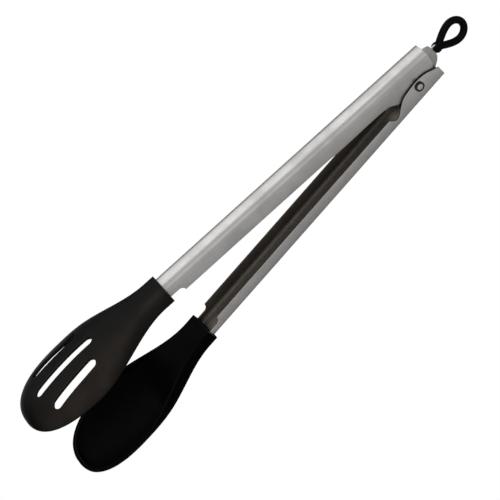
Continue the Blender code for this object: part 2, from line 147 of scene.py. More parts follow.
bpy.context.scene.view_settings.view_transform = "Standard"
FLOOR_SIZE, FLOOR_GAP = 6.0, 0.0002
floor_mesh = bpy.data.meshes.new("floor")
sheet = bmesh.new()
bmesh.ops.create_grid(sheet, x_segments=1, y_segments=1, size=FLOOR_SIZE / 2)
sheet.to_mesh(floor_mesh)
sheet.free()
floor = bpy.data.objects.new("floor", floor_mesh)
floor.location = (0, 0, cad_low.z - FLOOR_GAP)
bpy.context.scene.collection.objects.link(floor)
floor_paint, tree, shader = new_material("floor_paint")
seen = node_in(tree, "ShaderNodeLightPath")
tone = node_in(tree, "ShaderNodeMix", data_type="RGBA")
tone.inputs["A"].default_value = (0.8, 0.8, 0.8, 1)
tone.inputs["B"].default_value = (0, 0, 0, 1)
tree.links.new(seen.outputs["Is Camera Ray"], tone.inputs["Factor"])
tree.links.new(tone.outputs["Result"], shader.inputs["Base Color"])
shader.inputs["Emission Color"].default_value = (1, 1, 1, 1)
tree.links.new(seen.outputs["Is Camera Ray"], shader.inputs["Emission Strength"])
shader.inputs["Roughness"].default_value = 1.0
shader.inputs["Specular IOR Level"].default_value = 0.0
floor_mesh.materials.append(floor_paint)
floor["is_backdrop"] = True

sky = bpy.data.worlds.new("sky")
sky.use_nodes = True
bpy.context.scene.world = sky
sky_tree = sky.node_tree
where = node_in(sky_tree, "ShaderNodeTexCoord")
towards = node_in(sky_tree, "ShaderNodeVectorMath", operation="DOT_PRODUCT")
towards.inputs[1].default_value = (0, -0.5, 0.87)
brightness = node_in(sky_tree, "ShaderNodeMapRange")
brightness.inputs["From Min"].default_value = -0.45
brightness.inputs["From Max"].default_value = 0.9
brightness.inputs["To Min"].default_value = 0.05
brightness.inputs["To Max"].default_value = 0.72
sky_tree.nodes["Background"].inputs["Color"].default_value = (1, 1, 1, 1)
sky_tree.links.new(where.outputs["Generated"], towards.inputs[0])
sky_tree.links.new(towards.outputs["Value"], brightness.inputs["Value"])
sky_tree.links.new(brightness.outputs["Result"], sky_tree.nodes["Background"].inputs["Strength"])


def soft_box(name, place, size, watts, target=(0, 0, 0.03)):
    lamp = bpy.data.lights.new(name, "AREA")
    lamp.shape = "RECTANGLE"
    lamp.size, lamp.size_y = size
    lamp.energy = watts
    box = bpy.data.objects.new(name, lamp)
    box.location = place
    box.rotation_euler = (Vector(place) - Vector(target)).to_track_quat("Z", "Y").to_euler()
    bpy.context.scene.collection.objects.link(box)
    return box


soft_box("back_box", (0.1, 1.2, 1.15), (2.2, 1.2), 10)
soft_box("front_box", (0, -1.3, 1.5), (2.4, 1.4), 2, (0, -0.4, 0))

# %% [markdown]
# Three effects are shared by several materials, so each is a node group with its own sliders:
# the long scratches that brushing leaves, the fine pitting of a moulded skin, and the wear that
# polishes or pales an edge, which on the nylon also serves as a painted highlight along its rims
# and slots. A group only gives values, and the shader stays in the material.


# %% Shared effects as node groups
def new_group(name, inputs, outputs):
    """A shader node group with float or vector inputs and float outputs."""
    group = bpy.data.node_groups.new(name, "ShaderNodeTree")
    for label, default in inputs.items():
        kind = "NodeSocketVector" if default is None else "NodeSocketFloat"
        socket = group.interface.new_socket(label, in_out="INPUT", socket_type=kind)
        if default is not None:
            socket.default_value = default
    for label in outputs:
        group.interface.new_socket(label, in_out="OUTPUT", socket_type="NodeSocketFloat")
    start = group.nodes.new("NodeGroupInput")
    end = group.nodes.new("NodeGroupOutput")
    return group, start, end


def stretched_noise(group, start, along, across, detail):
    """Noise whose scale differs along X and across it."""
    scales = node_in(group, "ShaderNodeCombineXYZ")
    group.links.new(start.outputs[along], scales.inputs["X"])
    for axis in "YZ":
        group.links.new(start.outputs[across], scales.inputs[axis])
    stretch = node_in(group, "ShaderNodeVectorMath", operation="MULTIPLY")
    group.links.new(start.outputs["Vector"], stretch.inputs[0])
    group.links.new(scales.outputs["Vector"], stretch.inputs[1])
    noise = node_in(group, "ShaderNodeTexNoise", scale=1.0, detail=detail, roughness=0.62)
    group.links.new(stretch.outputs["Vector"], noise.inputs["Vector"])
    return noise.outputs["Fac"]


def remap(group, value, low, high):
    """Spreads low..high over 0..1, smoothly and clamped."""
    spread = node_in(group, "ShaderNodeMapRange", interpolation_type="SMOOTHSTEP")
    spread.inputs["From Min"].default_value = low
    spread.inputs["From Max"].default_value = high
    group.links.new(value, spread.inputs["Value"])
    return spread.outputs["Result"]


brushing, start, end = new_group(
    "brushing",
    {"Vector": None, "Along": 30.0, "Across": 6000.0, "Cloud": 60.0},
    ["Streaks", "Clouds"],
)
streaks = stretched_noise(brushing, start, "Along", "Across", 3.0)
clouds = stretched_noise(brushing, start, "Cloud", "Cloud", 2.0)
brushing.links.new(remap(brushing, streaks, 0.3, 0.7), end.inputs["Streaks"])
brushing.links.new(remap(brushing, clouds, 0.35, 0.65), end.inputs["Clouds"])

moulding, start, end = new_group(
    "moulding", {"Vector": None, "Grain": 2500.0, "Patch": 45.0}, ["Pits", "Patches"]
)
pits = stretched_noise(moulding, start, "Grain", "Grain", 2.0)
patches = stretched_noise(moulding, start, "Patch", "Patch", 3.0)
moulding.links.new(pits, end.inputs["Pits"])
moulding.links.new(remap(moulding, patches, 0.35, 0.65), end.inputs["Patches"])

edge_wear_and_highlight, start, end = new_group("edge_wear_and_highlight", {"Radius": 0.0005, "Full At": 0.12}, ["Worn"])
rounded = node_in(edge_wear_and_highlight, "ShaderNodeBevel", samples=4)
edge_wear_and_highlight.links.new(start.outputs["Radius"], rounded.inputs["Radius"])
surface = node_in(edge_wear_and_highlight, "ShaderNodeNewGeometry")
agreement = node_in(edge_wear_and_highlight, "ShaderNodeVectorMath", operation="DOT_PRODUCT")
edge_wear_and_highlight.links.new(rounded.outputs["Normal"], agreement.inputs[0])
edge_wear_and_highlight.links.new(surface.outputs["Normal"], agreement.inputs[1])
bend_away = node_in(edge_wear_and_highlight, "ShaderNodeMath", operation="SUBTRACT")
bend_away.inputs[0].default_value = 1.0
edge_wear_and_highlight.links.new(agreement.outputs["Value"], bend_away.inputs[1])
worn = node_in(edge_wear_and_highlight, "ShaderNodeMapRange", interpolation_type="SMOOTHSTEP")
edge_wear_and_highlight.links.new(bend_away.outputs["Value"], worn.inputs["Value"])
edge_wear_and_highlight.links.new(start.outputs["Full At"], worn.inputs["From Max"])
edge_wear_and_highlight.links.new(worn.outputs["Result"], end.inputs["Worn"])
print("groups:", [group.name for group in (brushing, moulding, edge_wear_and_highlight)])

# %% [markdown]
# Brushed steel is a metal whose roughness runs in streaks. The streaks also dent the surface a
# little, which is what spreads a highlight sideways. Edges that hands and drawers rub are smoother
# and lighter. The inside of a channel is unpolished and duller, and its colour is painted darker,
# a painted shade. The sheet's cut edges are painted nearly black, a painted shadow of the gaps
# beside them, and all steel's colour is darkened where it is seen at a slant, a painted shade.
# Each finish has its own tones, roughness and streaks.


# %% Steel finishes
def placed_group(tree, group, **values):
    node = tree.nodes.new("ShaderNodeGroup")
    node.node_tree = group
    for name, value in values.items():
        node.inputs[name.replace("_", " ").title()].default_value = value
    return node


def shade_between(tree, factor, low, high):
    """A colour between two colours by a 0..1 factor."""
    mix = node_in(tree, "ShaderNodeMix", data_type="RGBA")
    mix.inputs["A"].default_value = (*low, 1)
    mix.inputs["B"].default_value = (*high, 1)
    tree.links.new(factor, mix.inputs["Factor"])
    return mix.outputs["Result"]


def value_between(tree, factor, low, high):
    spread = node_in(tree, "ShaderNodeMapRange")
    spread.inputs["To Min"].default_value = low
    spread.inputs["To Max"].default_value = high
    tree.links.new(factor, spread.inputs["Value"])
    return spread.outputs["Result"]


def combined(tree, operation, first, second):
    node = node_in(tree, "ShaderNodeMath", operation=operation)
    for socket, value in zip(node.inputs, (first, second)):
        if isinstance(value, float):
            socket.default_value = value
        else:
            tree.links.new(value, socket)
    return node.outputs["Value"]


def bumped(tree, shader, height, distance, strength):
    bump = node_in(tree, "ShaderNodeBump", strength=strength, distance=distance)
    tree.links.new(height, bump.inputs["Height"])
    tree.links.new(bump.outputs["Normal"], shader.inputs["Normal"])


# painted shade: the darker colour of the channel's inside, which is also duller
RAW_SHADED_STEEL = (0.17, 0.15, 0.13)
# painted shadow: cut edges are painted nearly black for the shadow of the gaps beside them
CUT_EDGE_SHADOW = (0.02, 0.017, 0.015)


def brushed_steel(name, dark, light, edge, roughness, along, across, dent):
    """Steel between two tones. dent is the depth of the brushing in metres."""
    material, tree, shader = new_material(name)
    spot = node_in(tree, "ShaderNodeAttribute", attribute_name="drawn")
    grain = placed_group(tree, brushing, along=along, across=across)
    wear = placed_group(tree, edge_wear_and_highlight, radius=0.0004)
    tree.links.new(spot.outputs["Vector"], grain.inputs["Vector"])
    mixed = combined(tree, "MULTIPLY", grain.outputs["Streaks"], 0.4)
    mixed = combined(tree, "ADD", mixed, combined(tree, "MULTIPLY", grain.outputs["Clouds"], 0.6))
    body = shade_between(tree, mixed, dark, light)
    rubbed = node_in(tree, "ShaderNodeMix", data_type="RGBA")
    tree.links.new(wear.outputs["Worn"], rubbed.inputs["Factor"])
    tree.links.new(body, rubbed.inputs["A"])
    rubbed.inputs["B"].default_value = (*edge, 1)
    # painted shade: faces inside the channel take the darker colour, and are also made rougher
    unpolished_and_shaded = node_in(tree, "ShaderNodeAttribute", attribute_name="raw_and_shaded")
    inside_shade = node_in(tree, "ShaderNodeMix", data_type="RGBA")
    tree.links.new(unpolished_and_shaded.outputs["Fac"], inside_shade.inputs["Factor"])
    tree.links.new(rubbed.outputs["Result"], inside_shade.inputs["A"])
    inside_shade.inputs["B"].default_value = (*RAW_SHADED_STEEL, 1)
    # painted shadow: the sheet's cut edges take the nearly black colour
    cut_face = node_in(tree, "ShaderNodeAttribute", attribute_name="sheared")
    outlined = node_in(tree, "ShaderNodeMix", data_type="RGBA")
    tree.links.new(cut_face.outputs["Fac"], outlined.inputs["Factor"])
    tree.links.new(inside_shade.outputs["Result"], outlined.inputs["A"])
    outlined.inputs["B"].default_value = (*CUT_EDGE_SHADOW, 1)
    # painted shade: the colour is darkened where the surface is seen at a slant
    grazing = node_in(tree, "ShaderNodeLayerWeight", blend=0.35)
    shade = value_between(tree, combined(tree, "POWER", grazing.outputs["Facing"], 2.5), 1.0, 0.25)
    shaded = node_in(tree, "ShaderNodeVectorMath", operation="SCALE")
    tree.links.new(outlined.outputs["Result"], shaded.inputs["Vector"])
    tree.links.new(shade, shaded.inputs["Scale"])
    tree.links.new(shaded.outputs["Vector"], shader.inputs["Base Color"])
    low, high = roughness
    rough = value_between(tree, mixed, high, low)
    smoother = combined(tree, "MULTIPLY", wear.outputs["Worn"], low * 0.3)
    polished = combined(tree, "SUBTRACT", rough, smoother)
    duller = combined(tree, "MULTIPLY", unpolished_and_shaded.outputs["Fac"], 0.2)
    tree.links.new(combined(tree, "ADD", polished, duller), shader.inputs["Roughness"])
    bumped(tree, shader, grain.outputs["Streaks"], dent, 0.6)
    shader.inputs["Metallic"].default_value = 1.0
    return material


arm_steel = brushed_steel(
    "arm_steel",
    dark=(0.46, 0.452, 0.44),
    light=(0.55, 0.54, 0.525),
    edge=(0.65, 0.64, 0.62),
    roughness=(0.3, 0.42),
    along=25,
    across=1800,
    dent=1.5e-6,
)
plate_steel = brushed_steel(
    "plate_steel",
    dark=(0.42, 0.42, 0.40),
    light=(0.5, 0.5, 0.47),
    edge=(0.62, 0.61, 0.58),
    roughness=(0.24, 0.4),
    along=400,
    across=2500,
    dent=4e-6,
)
rivet_steel = brushed_steel(
    "rivet_steel",
    dark=(0.5, 0.49, 0.46),
    light=(0.6, 0.58, 0.55),
    edge=(0.7, 0.68, 0.64),
    roughness=(0.2, 0.34),
    along=900,
    across=900,
    dent=3e-6,
)
# painted shade: a nearly black steel for the ring round the rivet's dome, where shade falls
ring_shade_steel = brushed_steel(
    "ring_shade_steel",
    dark=(0.02, 0.018, 0.016),
    light=(0.04, 0.037, 0.034),
    edge=(0.1, 0.095, 0.09),
    roughness=(0.35, 0.5),
    along=900,
    across=900,
    dent=2e-6,
)
spring_steel = brushed_steel(
    "spring_steel",
    dark=(0.25, 0.24, 0.23),
    light=(0.34, 0.33, 0.32),
    edge=(0.42, 0.41, 0.4),
    roughness=(0.3, 0.42),
    along=1500,
    across=1500,
    dent=3e-6,
)

# %% [markdown]
# Nylon and rubber are both black, yet they differ. The heads have a finely pitted skin and slightly
# scuffed edges, and those edges also carry a painted highlight. The solid head takes a darker,
# duller copy of the same nylon, a painted shade. The loop's rubber is dark all over. On all three
# the colour is painted brighter where the surface faces the viewer and darker where it turns away,
# a painted sheen and shade.


# %% Nylon and rubber
def moulded_black(name, deep, pale, scuff_and_highlight, roughness, grain, pit_depth, shine=0.05):
    material, tree, shader = new_material(name)
    spot = node_in(tree, "ShaderNodeAttribute", attribute_name="drawn")
    skin = placed_group(tree, moulding, grain=grain)
    wear = placed_group(tree, edge_wear_and_highlight, radius=0.0008, full_at=0.25)
    tree.links.new(spot.outputs["Vector"], skin.inputs["Vector"])
    body = shade_between(tree, skin.outputs["Patches"], deep, pale)
    # wear and painted highlight: edges and slot rims take the lighter scuffed colour
    rubbed = node_in(tree, "ShaderNodeMix", data_type="RGBA")
    tree.links.new(combined(tree, "MULTIPLY", wear.outputs["Worn"], 0.6), rubbed.inputs["Factor"])
    tree.links.new(body, rubbed.inputs["A"])
    rubbed.inputs["B"].default_value = (*scuff_and_highlight, 1)
    # painted sheen and shade: the colour is brightened where the surface faces the viewer and
    # darkened where it turns away
    grazing = node_in(tree, "ShaderNodeLayerWeight", blend=0.5)
    painted_sheen = node_in(tree, "ShaderNodeMapRange")
    painted_sheen.inputs["From Max"].default_value = 0.42
    painted_sheen.inputs["To Min"].default_value = 2.5
    painted_sheen.inputs["To Max"].default_value = 0.05
    tree.links.new(grazing.outputs["Facing"], painted_sheen.inputs["Value"])
    shaded = node_in(tree, "ShaderNodeVectorMath", operation="SCALE")
    tree.links.new(rubbed.outputs["Result"], shaded.inputs["Vector"])
    tree.links.new(painted_sheen.outputs["Result"], shaded.inputs["Scale"])
    tree.links.new(shaded.outputs["Vector"], shader.inputs["Base Color"])
    rough = value_between(tree, skin.outputs["Patches"], *roughness)
    tree.links.new(rough, shader.inputs["Roughness"])
    bumped(tree, shader, skin.outputs["Pits"], pit_depth, 0.7)
    shader.inputs["Specular IOR Level"].default_value = shine
    return material


black_nylon = moulded_black(
    "black_nylon",
    deep=(0.008, 0.0066, 0.0056),
    pale=(0.012, 0.010, 0.0085),
    scuff_and_highlight=(0.07, 0.065, 0.06),
    roughness=(0.38, 0.48),
    grain=2400,
    pit_depth=8e-6,
)
# painted shade: a darker, duller copy of the same nylon for the solid head
shaded_nylon_copy = moulded_black(
    "shaded_nylon_copy",
    deep=(0.0006, 0.0006, 0.0006),
    pale=(0.0012, 0.0012, 0.0012),
    scuff_and_highlight=(0.09, 0.09, 0.09),
    roughness=(0.5, 0.6),
    grain=2400,
    pit_depth=8e-6,
    shine=0.02,
)
black_rubber = moulded_black(
    "black_rubber",
    deep=(0.001, 0.001, 0.001),
    pale=(0.0025, 0.0025, 0.0025),
    scuff_and_highlight=(0.004, 0.004, 0.004),
    roughness=(0.5, 0.6),
    grain=1800,
    pit_depth=1e-5,
)

# %% [markdown]
# Pieces are drawn as plain meshes in millimetres. `settle` then moves one's points to their real
# place and remembers where they were drawn, so that brushing follows the piece. It also gives the
# piece its material, lets it ride its body and hides the CAD nodes it stands for.


# %% Drawing tools
def mesh_piece(name, bm):
    bmesh.ops.scale(bm, vec=(MM, MM, MM), verts=bm.verts)
    mesh = bpy.data.meshes.new(name)
    bm.to_mesh(mesh)
    bm.free()
    mesh.shade_smooth()
    piece = bpy.data.objects.new(name, mesh)
    bpy.context.scene.collection.objects.link(piece)
    return piece


def cutter_piece(name, bm, matrix):
    piece = mesh_piece(name, bm)
    piece.matrix_world = matrix
    piece.hide_render = True
    piece.hide_viewport = True
    return piece


def cut(piece, cutter, operation="DIFFERENCE"):
    modifier = piece.modifiers.new(cutter.name, "BOOLEAN")
    modifier.operation = operation
    modifier.object = cutter


def baked(piece, sharp=40):
    """Replaces a piece's modifiers by the mesh they give, and drops the cutters they used."""
    graph = bpy.context.evaluated_depsgraph_get()
    mesh = bpy.data.meshes.new_from_object(piece.evaluated_get(graph))
    for modifier in list(piece.modifiers):
        helper = modifier.object if modifier.type == "BOOLEAN" else None
        piece.modifiers.remove(modifier)
        if helper:
            bpy.data.objects.remove(helper, do_unlink=True)
    piece.data = mesh
    mesh.shade_smooth()
    mesh.set_sharp_from_angle(angle=math.radians(sharp))
    return piece


def as_mesh(curve_piece):
    graph = bpy.context.evaluated_depsgraph_get()
    mesh = bpy.data.meshes.new_from_object(curve_piece.evaluated_get(graph))
    piece = bpy.data.objects.new(curve_piece.name, mesh)
    bpy.context.scene.collection.objects.link(piece)
    bpy.data.objects.remove(curve_piece, do_unlink=True)
    mesh.shade_smooth()
    mesh.set_sharp_from_angle(angle=math.radians(40))
    return piece


def settle(piece, matrix, body, slot_name, nodes, *materials):
    """Moves a piece's points into the row frame and remembers where they were drawn."""
    if piece.type == "CURVE":
        piece = as_mesh(piece)
    mesh = piece.data
    places = [value for vert in mesh.vertices for value in vert.co]
    mesh.attributes.new("drawn", "FLOAT_VECTOR", "POINT").data.foreach_set("vector", places)
    mesh.transform(matrix)
    for material in materials:
        mesh.materials.append(material)
    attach(piece, body)
    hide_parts(*nodes)
    return piece


def arc(centre, radius, start, end, steps=8):
    angles = [math.radians(start + (end - start) * i / steps) for i in range(steps + 1)]
    return [(centre[0] + radius * math.cos(a), centre[1] + radius * math.sin(a)) for a in angles]


def turned_mesh(profile, steps=72, dark_from=None):
    """Spins a profile of (radius, y) about Y. Faces beyond dark_from take slot 1, which holds the
    rivet's painted shade.
    """
    bm = bmesh.new()
    rings = []
    for radius, y in profile:
        if radius == 0:
            rings.append([bm.verts.new((0, y, 0))] * steps)
            continue
        angles = [2 * math.pi * k / steps for k in range(steps)]
        places = [(radius * math.cos(a), y, radius * math.sin(a)) for a in angles]
        rings.append([bm.verts.new(place) for place in places])
    for (r0, y0), (r1, y1), ring, following in zip(profile, profile[1:], rings, rings[1:]):
        for k in range(steps):
            corners = [ring[k], ring[k - 1], following[k - 1], following[k]]
            face = bm.faces.new(list(dict.fromkeys(corners)))
            if dark_from and min(r0, r1) >= dark_from[0] and min(y0, y1) < dark_from[1]:
                face.material_index = 1
    bmesh.ops.recalc_face_normals(bm, faces=bm.faces)
    return bm


def rounded_ring(inner, outer, low, high, lip=0.12):
    """The closed profile of a washer with softened edges."""
    corners = ((outer - lip, low + lip, -90), (outer - lip, high - lip, 0))
    corners += ((inner + lip, high - lip, 90), (inner + lip, low + lip, 180))
    profile = [point for x, y, start in corners for point in arc((x, y), lip, start, start + 90, 3)]
    return profile + profile[:1]


# %% [markdown]
# Each arm is a channel pressed from one sheet: a slightly crowned back, two round bends and two
# flanges. Its edge rises round the rivet as an ear, dips beyond it and then runs straight to the
# head. An edge's numbers are distance from the rivet and reach away from the arm's own back.

# %% The pressed steel arms
SHEET, FIT = 0.8, 0.3
BEND_DEPTH, BEND_POWER = 4.6, 2.8
NECK, TANG, TANG_RELIEF = 182.5, 24.0, 3.3
BORE = 2.3
OUTER = {
    "name": "outer_arm",
    "side": -1,
    "half": 8.0,
    "back": 10.1,
    "edge": [(-15.4, -1.5), (-11.6, 0.4), (-7.2, 2.7), (-0.8, 3.8), (5.6, 3.4), (11.4, 2.3)]
    + [(15.9, -0.6), (20.4, -4.1), (22.9, -4.1), (26.0, -0.6)],
}
INNER = {
    "name": "inner_arm",
    "side": 1,
    "half": 6.8,
    "back": 14.1,
    "edge": [(-14.2, -5.0), (-11.6, -1.0), (-7.5, 3.2), (-3.0, 4.9), (4.0, 5.0), (10.0, 3.6)]
    + [(16.0, 0.4), (22.0, -2.6), (56.0, -2.6), (66.0, -3.0)],
}


def slope_at(keys, i):
    before, after = keys[max(i - 1, 0)], keys[min(i + 1, len(keys) - 1)]
    return (after[1] - before[1]) / (after[0] - before[0])


def smooth_through(keys, steps):
    """(distance, reach) pairs on a smooth curve through the keys."""
    points = []
    for i, ((x0, y0), (x1, y1)) in enumerate(zip(keys, keys[1:])):
        span = x1 - x0
        for step in range(steps):
            t = step / steps
            pull = t * (1 - t) ** 2 * slope_at(keys, i) + t * t * (t - 1) * slope_at(keys, i + 1)
            points.append((x0 + span * t, y0 + (y1 - y0) * (3 - 2 * t) * t * t + pull * span))
    return points + [keys[-1]]


def channel(name, arm, edge, grow=0.0, bend_steps=20):
    """The outside skin of a channel, thickened inwards by a modifier."""
    half, back, depth = arm["half"] + grow, arm["back"] + grow, BEND_DEPTH + grow
    turns = [math.pi / 2 * (i + 1) / bend_steps for i in range(bend_steps)]
    power = 2 / BEND_POWER
    bend = [
        (half * math.sin(t) ** power, depth * (1 - abs(math.cos(t)) ** power) - back)
        for t in turns
    ]
    bm = bmesh.new()
    rows = []
    for distance, reach in edge:
        section = [(0, -back)] + bend + [(half, reach + grow)]
        rows.append([bm.verts.new((-distance, y, -arm["side"] * r)) for y, r in section])
    for row, following in zip(rows, rows[1:]):
        for j in range(len(row) - 1):
            quad = (row[j], row[j + 1], following[j + 1], following[j])
            bm.faces.new(quad if arm["side"] > 0 else quad[::-1])
    piece = mesh_piece(name, bm)
    mirror = piece.modifiers.new("both sides", "MIRROR")
    mirror.use_axis = (False, True, False)
    mirror.merge_threshold = 0.001 * MM
    thickness = piece.modifiers.new("sheet", "SOLIDIFY")
    thickness.thickness = (SHEET + 2 * grow) * MM
    thickness.offset = -1
    thickness.use_even_offset = True
    return piece


def mark_raw_and_shaded(piece, arm):
    """Marks the faces inside the channel, which are duller and take a painted shade, and those on
    the sheet's cut edges, which take a painted shadow.
    """
    limit = (arm["half"] - SHEET - 0.05) * MM
    raw_and_shaded, sheared = [], []
    for face in piece.data.polygons:
        y, normal = face.center.y, face.normal
        on_flange = abs(y) > limit
        inward = -normal.y * math.copysign(1, y) if on_flange else -arm["side"] * normal.z
        raw_and_shaded.append(float(inward > 0.3))
        sheared.append(float(abs(normal.y) < 0.3 if on_flange else abs(normal.x) > 0.7))
    for name, marks in (("raw_and_shaded", raw_and_shaded), ("sheared", sheared)):
        piece.data.attributes.new(name, "FLOAT", "FACE").data.foreach_set("value", marks)


def build_arm(arm, matrix):
    plain, notch = arm["edge"][-1][1], NECK - 9.0
    edge = smooth_through(arm["edge"], 8)
    edge += arc((notch + TANG_RELIEF, plain), TANG_RELIEF, 180, 270, 10)
    edge += [(NECK + TANG, plain - TANG_RELIEF)]
    piece = channel(arm["name"] + "_steel", arm, edge)
    bore = [(0, -20), (BORE, -20), (BORE, 20), (0, 20)]
    cut(piece, cutter_piece("bore", turned_mesh(bore, 64), Matrix.Identity(4)))
    soften = piece.modifiers.new("soft edges", "BEVEL")
    soften.width = 0.16 * MM
    soften.segments = 2
    soften.limit_method = "ANGLE"
    soften.angle_limit = math.radians(55)
    soften.use_clamp_overlap = False
    baked(piece, 50)
    mark_raw_and_shaded(piece, arm)
    return settle(piece, matrix, arm["name"], "arm_steel", [arm["name"]], arm_steel)


outer_steel = build_arm(OUTER, outer_frame)
inner_steel = build_arm(INNER, inner_frame)
print("arm faces:", len(outer_steel.data.polygons), len(inner_steel.data.polygons))

# %% [markdown]
# A head is a square collar that opens into a bowl. Every cross section is a superellipse, and its
# two powers go from squarish at the collar to oval over the bowl. The rim has a rounded lip, made
# of a quarter circle outside and another inside.

# %% The moulded heads
HEAD_LENGTH, HEAD_WIDTH, HEAD_WALL, DOME = 106.2, 57.6, 2.4, 14.8
RIM_SETBACK, COLLAR_SKIN, COLLAR_BACK = 0.6, 2.0, 1.6
SHOULDER = (7.0, 67.0)
BOWL_START, BOWL_FULL, CROWN_START = TANG + 2.0, 52.0, 40.0
NOSE_POWER, CROWN_POWER, COLLAR_POWER = 2.5, 2.0, 5.0
DOME_POWERS = (2.0, 1.7)
INNER_SCALE = 1 - 2 * HEAD_WALL / HEAD_WIDTH
LIP, NEARLY_TIP = 0.75, 0.99995


def ease(value, low, high):
    t = min(max((value - low) / (high - low), 0.0), 1.0)
    return t * t * (3 - 2 * t)


def nose(along, start, power):
    """Falls from 1 at start to 0 at the tip along a superellipse."""
    t = min(max((along - start) / (HEAD_LENGTH - start), 0.0), 1.0)
    return (1 - t**power) ** (1 / power)


def head_section(arm, along):
    grown = ease(along, *SHOULDER)
    collar = arm["half"] + COLLAR_SKIN
    half = (collar + (HEAD_WIDTH / 2 - collar) * grown) * nose(along, SHOULDER[1], NOSE_POWER)
    collar_height = arm["edge"][-1][1] - RIM_SETBACK + arm["back"] + COLLAR_BACK
    full_height = collar_height + (DOME - collar_height) * grown
    height = full_height * nose(along, CROWN_START, CROWN_POWER)
    across, up = (COLLAR_POWER + (power - COLLAR_POWER) * grown for power in DOME_POWERS)
    return half, height, across, up


def inside_section(arm, along):
    half, height, across, up = head_section(arm, along)
    wall = HEAD_WALL * nose(along, 0, NOSE_POWER)
    height = max(height - wall, 0.0) * ease(along, BOWL_START, BOWL_FULL)
    return half * INNER_SCALE, height, across, up


def section_points(half, height, across, up, lip, steps):
    """(y, h) from the crown down to where the lip takes over."""
    end = math.acos(min((lip / height) ** (up / 2), 1.0)) if height > 1e-6 else math.pi / 2
    points = []
    for j in range(steps + 1):
        angle = end * j / steps
        h = height * math.cos(angle) ** (2 / up) if height > 1e-6 else 0.0
        points.append((half * math.sin(angle) ** (2 / across), h))
    return points


def head_mesh(arm, row_steps, side_steps):
    rim = arm["edge"][-1][1] - RIM_SETBACK
    bm = bmesh.new()

    def row(along, inside):
        section = inside_section if inside else head_section
        half, height, across, up = section(arm, along)
        lip = min(LIP, 0.25 * half, 0.3 * height)
        x = along - (HEAD_WALL * ease(along, BOWL_FULL, HEAD_LENGTH) if inside else 0.0)
        points = section_points(half, height, across, up, lip, side_steps)
        edge_y = points[-1][0]
        turns = [math.radians(90 * k / 4) for k in range(1, 5)]
        sign = 1 if inside else -1
        points += [
            (edge_y + sign * lip * (1 - math.cos(t)), lip * (1 - math.sin(t))) for t in turns
        ]
        return [bm.verts.new((-(NECK + x), y, -arm["side"] * (rim - h))) for y, h in points]

    quarter = math.pi / 2
    shares = [math.sin(quarter * i / row_steps) for i in range(row_steps + 1)]
    lengths = sorted([HEAD_LENGTH * NEARLY_TIP * share for share in shares] + [TANG, BOWL_START])
    outside = [row(along, False) for along in lengths]
    inside = [row(along, True) for along in lengths]
    last = len(outside[0]) - 1
    for rows in (outside, inside):
        for first, second in zip(rows, rows[1:]):
            for j in range(last):
                bm.faces.new((first[j], first[j + 1], second[j + 1], second[j]))
    for i in range(len(lengths) - 1):
        bm.faces.new((outside[i][-1], inside[i][-1], inside[i + 1][-1], outside[i + 1][-1]))
    for end in (0, -1):
        for j in range(last):
            bm.faces.new((outside[end][j], outside[end][j + 1], inside[end][j + 1], inside[end][j]))
    bmesh.ops.recalc_face_normals(bm, faces=bm.faces)
    return bm


def build_head(name, arm):
    piece = mesh_piece(name + "_nylon", head_mesh(arm, 84, 40))
    mirror = piece.modifiers.new("both sides", "MIRROR")
    mirror.use_axis = (False, True, False)
    mirror.merge_threshold = 0.0005 * MM
    tip = arm["edge"][-1][1] - TANG_RELIEF
    pocket = channel(name + "_pocket", arm, [(NECK - 12, tip), (NECK + TANG + FIT, tip)], FIT)
    pocket.hide_render = pocket.hide_viewport = True
    cut(piece, pocket)
    return piece


solid_nylon = build_head("solid_head", OUTER)
slotted_nylon = build_head("slotted_head", INNER)

# %% [markdown]
# Each slot's cutter is a stack of rings. The rings follow the dome's outside and inside surfaces
# and flare there, so the cut leaves a rounded lip on both faces.


# %% The slots
def surface_height(section, y):
    half, height, across, up = section
    lean = min(abs(y) / half, 1.0) ** across if half > 0 else 1.0
    return height * math.sqrt(1 - lean) ** (2 / up)


def heights_at(x, y):
    """Outside and inside height of the slotted dome over a point of its rim plane."""
    along = x
    for _ in range(4):
        along = x + HEAD_WALL * ease(along, BOWL_FULL, HEAD_LENGTH)
    outside = surface_height(head_section(INNER, x), y)
    return outside, surface_height(inside_section(INNER, along), y)


def slot_outline(start, end, radius, steps=20):
    heading = math.degrees(math.atan2(end[1] - start[1], end[0] - start[0]))
    first = arc(start, radius, heading + 90, heading + 270, steps)
    return first + arc(end, radius, heading - 90, heading + 90, steps)


def filled_in(points, step=1.0, straight=5.0):
    """Adds points along an outline's straight parts, so that it can follow a curved surface."""
    filled = []
    for (x0, y0), (x1, y1) in zip(points, points[1:] + points[:1]):
        length = math.hypot(x1 - x0, y1 - y0)
        count = round(length / step) if length > straight else 1
        filled += [(x0 + (x1 - x0) * k / count, y0 + (y1 - y0) * k / count) for k in range(count)]
    return filled


